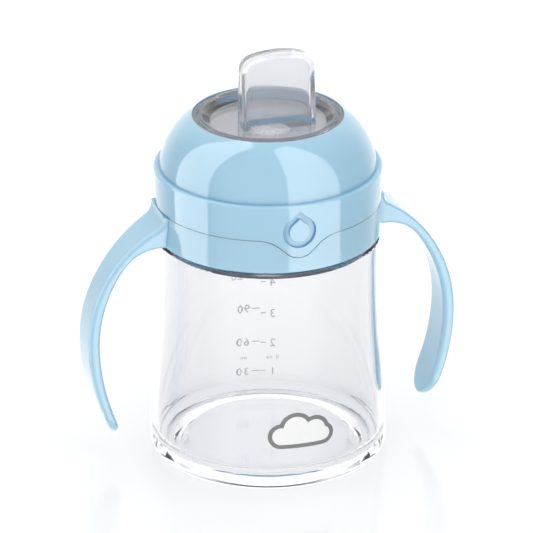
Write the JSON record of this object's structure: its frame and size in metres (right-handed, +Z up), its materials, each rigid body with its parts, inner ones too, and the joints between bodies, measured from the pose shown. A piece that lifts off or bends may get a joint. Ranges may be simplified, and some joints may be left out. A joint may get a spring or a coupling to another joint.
{
  "type": "sippy cup",
  "caption": "Child's training cup: clear graduated cup, screw-on domed lid with soft silicone spout, and two arm handles on a ring.",
  "frame": {"origin": "middle of the cup's foot, on the surface it stands on", "axes": "+Z up through the spout, -Y the front with the emblem, +X and -X the handles"},
  "size_m": [0.1088, 0.0682, 0.1218],
  "materials": {
    "clear_cup": "glossy clear injection-moulded copolyester",
    "collar_blue": "polished moulded polypropylene",
    "handle_blue": "polished moulded polypropylene",
    "spout_silicone": "translucent moulded silicone",
    "cage_plastic": "fine matt moulded polypropylene",
    "valve_silicone": "translucent moulded silicone",
    "vent_silicone": "translucent moulded silicone",
    "seal_silicone": "translucent moulded silicone"
  },
  "bodies": {
    "cup": {"cup_body": "clear_cup"},
    "seal": {"seal_ring": "seal_silicone"},
    "lid": {"screw_collar": "collar_blue", "handle_ring": "handle_blue", "spout": "spout_silicone", "valve_cage": "cage_plastic", "flow_valve": "valve_silicone", "vent_valve": "vent_silicone"}
  },
  "joints": [
    {"name": "lid_lift", "type": "slide", "parent": "cup", "child": "seal", "axis": [0, 0, 1], "range_m": [0, 0.024]},
    {"name": "lid_turn", "type": "hinge", "parent": "seal", "child": "lid", "pos_m": [0, 0, 0.084], "axis": [0, 0, 1], "range_deg": [0, 1080]}
  ],
  "couplings": [
    {"joint": "lid_lift", "follows": "lid_turn", "m_per_rad": 0.0012732}
  ]
}
